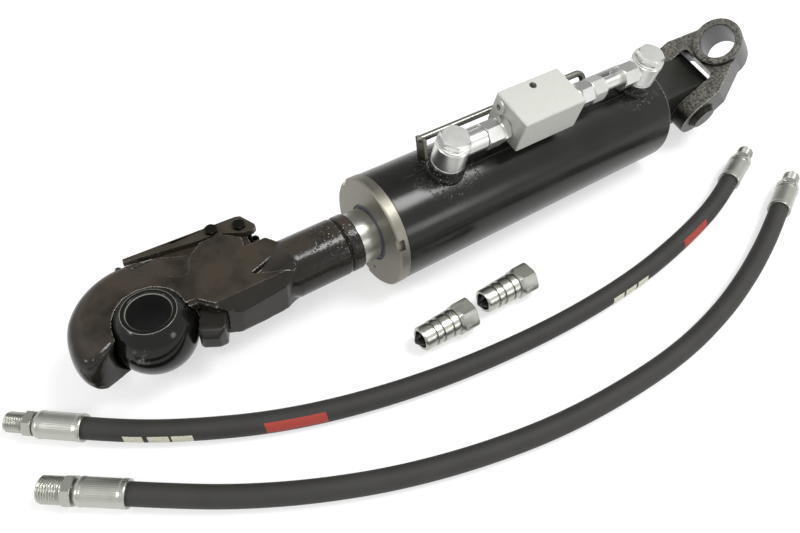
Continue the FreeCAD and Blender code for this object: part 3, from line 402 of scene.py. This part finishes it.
for first, last, code in ((-52, -40.6, cream), (-37.7, -25, cream), (-23.5, -10.5, cream), (35.5, 77, red),
                          (333, 345.5, cream), (348, 361, cream), (363.5, 377, cream), (433, 472, red)):
    inside = add(tree, "Math", {0: parts.outputs["X"], 1: (first + last) / 2 * mm, 2: (last - first) / 2 * mm},
                 operation="COMPARE")
    own = beyond if first > 300 else inner_hose
    block = add(tree, "Math", {0: inside.outputs[0], 1: printed[code].outputs[0]}, operation="MULTIPLY")
    block = add(tree, "Math", {0: block.outputs[0], 1: own.outputs[0]}, operation="MULTIPLY")
    mask = add(tree, "Math", {0: block.outputs[0], 1: flaked.outputs[0]}, operation="MULTIPLY")
    rubber = add(tree, "Mix", {"Factor": mask.outputs[0], "A": rubber, "B": colour(code)},
                 data_type="RGBA").outputs["Result"]
tree.links.new(rubber, shader.inputs["Base Color"])
shader.inputs["Roughness"].default_value = 0.68
bump = add(tree, "Bump", {"Height": weave.outputs["Fac"], "Strength": 0.35, "Distance": 0.25 * mm})
tree.links.new(bump.outputs["Normal"], shader.inputs["Normal"])


def plain(name, code, rough):
    """A moulded part of one colour, with the slight mottle of moulding."""
    made, tree, shader, place = start(name, IOR=1.5)
    mottle = add(tree, "TexNoise", {"Vector": place, "Scale": per_mm(3), "Detail": 3.0})
    base = colour(code)
    dark = tuple(c * 0.7 for c in base[:3]) + (1.0,)
    tint = add(tree, "Mix", {"Factor": mottle.outputs["Fac"], "A": dark, "B": base}, data_type="RGBA")
    tree.links.new(tint.outputs["Result"], shader.inputs["Base Color"])
    gloss = add(tree, "MapRange", {"Value": mottle.outputs["Fac"], "To Min": rough - 0.1, "To Max": rough + 0.1})
    tree.links.new(gloss.outputs[0], shader.inputs["Roughness"])
    return made


seal_rubber = plain("blue_polyurethane_seal", "#2d2f40", 0.4)
black_acetal = plain("black_acetal_poppet", "#1c1c1b", 0.45)
print("rubber and plastics made")

# %% [markdown]
# Real edges are never razor sharp. Machined pieces get a hairline bevel. Forgings and castings are round
# all over, and there a voxel remesh followed by smoothing works better: it rounds inside corners too,
# which a bevel can't do where many faces meet. Both are modifiers, so the solid underneath stays as it is.

# %% Edges
sharp_angle = math.radians(26)      # a bolt head's chamfer lies at 30 degrees, and has to stay crisp


def smooth_group():
    """A small geometry group: joins split vertices and shades all but the sharp edges smooth."""
    group = bpy.data.node_groups.new("shade_by_angle", "GeometryNodeTree")
    group.interface.new_socket("Geometry", in_out="INPUT", socket_type="NodeSocketGeometry")
    group.interface.new_socket("Geometry", in_out="OUTPUT", socket_type="NodeSocketGeometry")
    make = group.nodes.new
    first, last = make("NodeGroupInput"), make("NodeGroupOutput")
    plain_normals = make("GeometryNodeRemoveAttribute")
    plain_normals.inputs["Name"].default_value = "custom_normal"
    join = make("GeometryNodeMergeByDistance")
    join.inputs["Distance"].default_value = 0.001 * mm
    faces, edges = make("GeometryNodeSetShadeSmooth"), make("GeometryNodeSetShadeSmooth")
    faces.domain, edges.domain = "FACE", "EDGE"
    edges.inputs["Shade Smooth"].default_value = False
    angle, limit = make("GeometryNodeInputMeshEdgeAngle"), make("FunctionNodeCompare")
    limit.inputs[1].default_value = sharp_angle
    tie = group.links.new
    tie(angle.outputs["Unsigned Angle"], limit.inputs[0])
    tie(limit.outputs[0], edges.inputs["Selection"])
    for a, b in ((first, plain_normals), (plain_normals, join), (join, faces), (faces, edges), (edges, last)):
        tie(a.outputs[0], b.inputs[0])
    return group


shade_by_angle = smooth_group()


def machined(name, width=0.35):
    """A hairline bevel of this many millimetres on a turned or milled piece."""
    piece = nodes[name]
    piece.modifiers.new("shading", "NODES").node_group = shade_by_angle
    bevel = piece.modifiers.new("edges", "BEVEL")
    bevel.width = width * mm
    bevel.segments = 2
    bevel.limit_method = "ANGLE"
    bevel.angle_limit = sharp_angle
    bevel.harden_normals = True
    return piece


def rounded(name, voxel, passes):
    """All edges of a forging or casting rounded: remade in voxels of this size, then smoothed."""
    piece = nodes[name]
    remesh = piece.modifiers.new("skin", "REMESH")
    remesh.mode = "VOXEL"
    remesh.voxel_size = voxel * mm
    remesh.use_smooth_shade = True
    relax = piece.modifiers.new("rounding", "SMOOTH")
    relax.factor = 0.5
    relax.iterations = passes
    return piece


def soften(name, centre, reach, passes):
    """Rounds one end of a piece more than the rest: its points are averaged with their neighbours' there."""
    group = bpy.data.node_groups.new(name + "_soft_end", "GeometryNodeTree")
    group.interface.new_socket("Geometry", in_out="INPUT", socket_type="NodeSocketGeometry")
    group.interface.new_socket("Geometry", in_out="OUTPUT", socket_type="NodeSocketGeometry")
    make, tie = group.nodes.new, group.links.new
    first, last, move = make("NodeGroupInput"), make("NodeGroupOutput"), make("GeometryNodeSetPosition")
    where, gap, fade = make("GeometryNodeInputPosition"), make("ShaderNodeVectorMath"), make("ShaderNodeMapRange")
    gap.operation = "DISTANCE"
    gap.inputs[1].default_value = centre
    fade.inputs["From Min"].default_value = reach
    fade.inputs["From Max"].default_value = reach * 0.55
    blur, blend = make("GeometryNodeBlurAttribute"), make("ShaderNodeMix")
    blur.data_type = "FLOAT_VECTOR"
    blur.inputs["Iterations"].default_value = passes
    blend.data_type = "VECTOR"
    averaged = next(socket for socket in blur.outputs if socket.enabled)
    tie(where.outputs[0], next(socket for socket in blur.inputs if socket.enabled))
    tie(where.outputs[0], gap.inputs[0])
    tie(gap.outputs["Value"], fade.inputs["Value"])
    factor, plain_place, soft_place = [socket for socket in blend.inputs if socket.enabled]
    tie(fade.outputs[0], factor)
    tie(where.outputs[0], plain_place)
    tie(averaged, soft_place)
    tie(next(socket for socket in blend.outputs if socket.enabled), move.inputs["Position"])
    tie(first.outputs[0], move.inputs["Geometry"])
    tie(move.outputs[0], last.inputs[0])
    nodes[name].modifiers.new("soft_end", "NODES").node_group = group


finishes = {
    hook_enamel: ["hook_body", "weld_collar"],
    pawl_enamel: ["latch_pawl"],
    cap_enamel: ["rear_end"],
    lever_enamel: ["release_lever", "bar_bracket"],
    barrel_enamel: ["barrel_tube", "front_port_boss", "rear_port_boss"],
    ball_enamel: ["hook_ball"],
    cast_primer: ["knuckle_fork"],
    hard_chrome: ["piston_rod"],
    turned_steel: ["gland_nut", "piston", "piston_nut", "pin_circlip"],
    zinc_plate: ["left_union_nut", "left_adapter", "right_adapter", "right_union_nut", "line_pipe",
                 "rear_union_nut", "front_banjo_bolt", "front_banjo_eye", "rear_banjo_bolt",
                 "rear_banjo_eye", "front_lower_washer", "front_upper_washer", "rear_lower_washer",
                 "rear_upper_washer", "coupler_1_body", "coupler_2_body"],
    bar_steel: ["guard_bar"],
    milled_aluminium: ["valve_block", "front_check_plug", "rear_check_plug"],
    black_oxide: ["lever_pivot_bolt", "lever_link_bolt", "lever_spring", "fork_pin"],
    bearing_bronze: ["lug_bush"],
    seal_rubber: ["rod_wiper", "rod_seal", "piston_seal"],
    black_acetal: ["coupler_1_poppet", "coupler_2_poppet"],
}
cast_or_forged = {"hook_body": (0.7, 5), "latch_pawl": (0.7, 24), "knuckle_fork": (0.8, 4), "rear_end": (1.2, 3),
                  "weld_collar": (0.6, 3)}


def dress(piece, material):
    """Gives a piece one finish all over."""
    piece.data.materials.clear()
    piece.data.materials.append(material)


for material, names in finishes.items():
    for name in names:
        dress(nodes[name], material)
        if name in cast_or_forged:
            rounded(name, *cast_or_forged[name])
        else:
            machined(name)
soften("hook_body", Vector((-52 * mm, -14 * mm, 12 * mm)), 42 * mm, 220)
print("finished pieces:", sum(len(names) for names in finishes.values()))

# %% [markdown]
# A hose end is a steel sleeve crimped over the rubber, then a hexagon and a screwed spigot. The jaws of
# the crimping press leave fine lines along the sleeve, and the screw is a real helix. Each is a surface
# whose radius depends on the angle and on the distance along, so one function takes that radius as a rule
# and builds the mesh ring by ring.

# %% Crimped sleeves and screwed ends
def skin(name, base, out, rings):
    """A closed surface round out. Each ring is its distance along out and its radii, one for each angle."""
    side_way = out.cross(Vector((0, 0, 1))).normalized()
    other_way = out.cross(side_way)
    around = len(rings[0][1])
    points, faces = [base + out * rings[0][0]], []
    for along, radii in rings:
        for k, radius in enumerate(radii):
            angle = 2 * math.pi * k / around
            spread = side_way * math.cos(angle) + other_way * math.sin(angle)
            points.append(base + out * along + spread * radius)
    points.append(base + out * rings[-1][0])
    for i in range(len(rings) - 1):
        for k in range(around):
            a, b = 1 + i * around + k, 1 + i * around + (k + 1) % around
            faces.append((a, b, b + around, a + around))
    last_ring = 1 + (len(rings) - 1) * around
    for k in range(around):
        faces.append((0, 1 + (k + 1) % around, 1 + k))
        faces.append((len(points) - 1, last_ring + k, last_ring + (k + 1) % around))
    data = bpy.data.meshes.new(name)
    data.from_pydata([tuple(p) for p in points], [], faces)
    data.update()
    piece = put(name, data)
    piece.modifiers.new("shading", "NODES").node_group = shade_by_angle
    return piece


def surface(name, base, out, length, rule, rings, around, bore=0.0):
    """A skin of even rings, with rule(distance, angle) for its radius, and a bore 9 mm deep in its end."""
    angles = [2 * math.pi * k / around for k in range(around)]
    stations = [length * i / rings for i in range(rings + 1)]
    wall = [(along, [rule(along, angle) for angle in angles]) for along in stations]
    if bore:
        wall += [(length, [bore] * around), (length - 9 * mm, [bore] * around)]
    return skin(name, base, out, wall)


sleeve_long = 36.5 * mm
hexagon_long = 6.5 * mm


def sleeve_radius(along, angle):
    """The crimped sleeve: a lip at the hose, a body with fine pressed lines, and a shoulder."""
    if along < 0.6 * mm:
        return ferrule_r - 0.5 * mm
    pressed = min(1.0, max(0.0, (along - 3.5 * mm) / (2.0 * mm)), max(0.0, (sleeve_long - 5 * mm - along) / (2 * mm)))
    line = 0.5 - 0.5 * math.cos(48 * angle)
    shoulder = max(0.0, along - (sleeve_long - 5 * mm)) / (5 * mm)
    return ferrule_r - 0.15 * mm - pressed * (0.35 + 0.12 * line) * mm - 2.6 * mm * shoulder ** 2


def screw_radius(radius, pitch, length):
    """A rule for a screwed spigot: a helical vee that runs out at both ends."""
    def rule(along, angle):
        phase = (along / pitch + angle / (2 * math.pi)) % 1.0
        vee = abs(phase - 0.5) * 2
        ends = max(0.0, min(1.0, along / (2.5 * mm), (length - along) / (1.2 * mm)))
        return radius - 1.05 * mm * (1 - vee * ends)
    return rule


def hexagon_radius(across):
    """A rule for a hexagon, this far across its flats, with its corners turned off at both ends."""
    def rule(along, angle):
        flat = across / 2 / math.cos(angle % (math.pi / 3) - math.pi / 6)
        end = min(along, hexagon_long - along)
        return min(flat, across * 0.52 + 1.7 * end)
    return rule


# End: which hose and side, screw radius, screw length, hexagon width.
hose_ends = {
    ("hose_1", "left"): (7.6, 15.0, 17.5), ("hose_1", "right"): (7.6, 15.0, 17.5),
    ("hose_2", "left"): (9.7, 17.5, 20.0), ("hose_2", "right"): (7.6, 15.0, 17.5),
}
on_hose = {name: [] for name in hoses}
for (hose_name, side_name), (screw_r, screw_long, across) in hose_ends.items():
    piece, points = hoses[hose_name]
    mouth, inner = (points[0], points[1]) if side_name == "left" else (points[-1], points[-2])
    out = (mouth - inner).normalized()
    label = hose_name + "_" + side_name
    sleeve = surface(label + "_crimp", mouth, out, sleeve_long, sleeve_radius, 62, 192)
    hexagon = surface(label + "_hexagon", mouth + out * sleeve_long, out, hexagon_long,
                      hexagon_radius(across * mm), 12, 6 * 8)
    screw = surface(label + "_screw", mouth + out * (sleeve_long + hexagon_long), out, screw_long * mm,
                    screw_radius(screw_r * mm, 1.8 * mm, screw_long * mm), 100, 48, (screw_r - 3.2) * mm)
    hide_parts(label + "_ferrule")
    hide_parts(label + "_nipple")
    for part in (sleeve, hexagon, screw):
        dress(part, crimped_zinc)
        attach(part, "barrel")
    on_hose[hose_name] += [part.name for part in (sleeve, hexagon, screw)]

for name, (piece, points) in hoses.items():
    dress(piece, hose_rubber)
    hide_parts(name)
    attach(piece, "barrel")
print("hose ends:", len(hose_ends))

# %% [markdown]
# The loose half of a quick coupling is turned from hexagon bar: a nose, a ball groove, two bands and the
# hexagon that a spanner holds. Its valve is a black plastic cross that sticks out of the nose. The same
# ring-by-ring skin makes both: the profile runs from the bore over the outside and back into the screw
# port, and where a radius is larger than the hexagon's, the flat cuts it off.

# %% Quick couplings
coupler_profile = [(14, 7.4), (0.3, 7.4), (0, 7.8), (0, 9.0), (1.2, 10.2), (9.4, 10.2), (9.7, 9.2), (11.2, 9.2),
                   (11.5, 10.7), (15.2, 10.7), (15.6, 9.4), (18, 9.4), (18.3, 11.0), (25.3, 11.0), (25.6, 9.9),
                   (27.0, 9.9), (27.3, 11.3), (31.6, 11.3), (32.0, 10.2), (33.6, 10.2), (34.0, 11.6),
                   (36.6, 14.5), (48.9, 14.5), (50.0, 13.4), (50.0, 9.6), (49.0, 9.0), (40.0, 9.0)]
poppet_profile = [(-5.0, 0.6), (-4.6, 1.8), (-0.4, 6.4), (3.0, 6.4), (3.0, 2.5), (7.9, 2.5)]
fin_half = 1.2 * mm


def hexagon_cut(radius, angle):
    """This radius, or the flat of the 25 mm hexagon where that comes first."""
    return min(radius, 12.5 * mm / math.cos(angle % (math.pi / 3) - math.pi / 6))


def cross_cut(radius, angle):
    """The outline of a cross with four fins of this radius."""
    from_fin = (angle + math.pi / 4) % (math.pi / 2) - math.pi / 4
    return min(radius, fin_half / max(abs(math.sin(from_fin)), 0.001))


around = [2 * math.pi * k / 96 for k in range(96)]
for number, nose in ((1, (174.0, -95.0)), (2, (240.0, -92.0))):
    base = Vector((nose[0] * mm, nose[1] * mm, floor_z + 12.6 * mm))
    for kind, profile, cut, material, slot, body in (
            ("body", coupler_profile, hexagon_cut, crimped_zinc, "zinc", "barrel"),
            ("poppet", poppet_profile, cross_cut, black_acetal, "poppet", "poppet_%d" % number)):
        rings = [(along * mm, [cut(radius * mm, angle) for angle in around]) for along, radius in profile]
        piece = skin("coupler_%d_%s_turned" % (number, kind), base, Vector((1, 0, 0)), rings)
        dress(piece, material)
        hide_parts("coupler_%d_%s" % (number, kind))
        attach(piece, body)
print("quick couplings: 2, each a body and a poppet")

# %% [markdown]
# The picture was taken on white, in a light tent that is bright in front and dim behind. That dim side is
# what the black enamel mirrors on its upper faces, so they stay black. A dim round patch of the world, up
# and behind, does this with no lamps at all. One large soft box above the rod then gives the crisp
# highlights, and three small ones light the hook, the left side and the low front. The floor is white
# paper that keeps the shadows.

# %% Floor, world and lamps
paper, tree, shader, place = start("white_paper", Roughness=1.0)
fibre = add(tree, "TexNoise", {"Vector": place, "Scale": per_mm(5), "Detail": 2.0})
white = add(tree, "Mix", {"Factor": fibre.outputs["Fac"], "A": colour("#fbfbfa"), "B": colour("#ffffff")},
            data_type="RGBA")
tree.links.new(white.outputs["Result"], shader.inputs["Base Color"])
shader.inputs["Specular IOR Level"].default_value = 0.0
# Seen or mirrored, the paper is half its own white, so that the shadows stay faint as in a light tent.
ray = add(tree, "LightPath")
seen = add(tree, "Math", {0: ray.outputs["Is Camera Ray"], 1: ray.outputs["Is Glossy Ray"]}, operation="MAXIMUM")
seen = add(tree, "Math", {0: seen.outputs[0], 1: ray.outputs["Is Transmission Ray"]}, operation="MAXIMUM")
half = add(tree, "Math", {0: seen.outputs[0], 1: 0.55}, operation="MULTIPLY")
pure = add(tree, "Emission", {"Color": colour("#ffffff"), "Strength": 1.0})
seen_paper = add(tree, "MixShader", {0: half.outputs[0], 1: shader.outputs[0], 2: pure.outputs[0]})
tree.links.new(seen_paper.outputs[0], tree.nodes["Material Output"].inputs["Surface"])
bpy.ops.mesh.primitive_plane_add(size=12.0, location=(0.25, 0.0, floor_z))
floor = bpy.context.object
floor.name = "paper_floor"
dress(floor, paper)

world = bpy.data.worlds.new("light_tent")
bpy.context.scene.world = world
world.use_nodes = True
tree = world.node_tree
dim_side = Vector((0.38, 0.65, 0.66)).normalized()
toward = add(tree, "VectorMath", {0: add(tree, "TexCoord").outputs["Generated"], 1: dim_side},
             operation="DOT_PRODUCT")
tent = add(tree, "MapRange", {"Value": toward.outputs["Value"], "From Min": 0.93, "From Max": 0.75,
                              "To Min": 0.35, "To Max": 0.85}, interpolation_type="SMOOTHSTEP")
tree.links.new(tent.outputs[0], tree.nodes["Background"].inputs["Strength"])
tree.nodes["Background"].inputs["Color"].default_value = colour("#ffffff")


def soft_box(name, target, azimuth, height, away, size, power):
    """A square lamp this far from its target, in metres and watts, at this azimuth and height in degrees."""
    light = bpy.data.lights.new(name, "AREA")
    light.size = size
    light.energy = power
    a, h = math.radians(azimuth), math.radians(height)
    direction = Vector((math.cos(a) * math.cos(h), math.sin(a) * math.cos(h), math.sin(h)))
    made = put(name, light)
    made.location = Vector(target) + direction * away
    made.rotation_euler = direction.to_track_quat("Z", "Y").to_euler()
    return made


soft_box("soft_box_over_rod", (0.19, -0.02, 0.03), -34, 60, 3.0, 1.0, 52.0)
soft_box("soft_box_over_hook", (0.0, 0.0, 0.0), -115, 53, 3.0, 0.6, 12.0)
soft_box("soft_box_at_left", (0.0, 0.0, 0.0), 178, 34, 2.6, 0.5, 14.0)
soft_box("soft_box_low_in_front", (0.0, 0.0, 0.0), -58, 13, 2.6, 0.5, 4.5)
print("lamps placed")

# %% View transform
bpy.context.scene.view_settings.view_transform = "Standard"
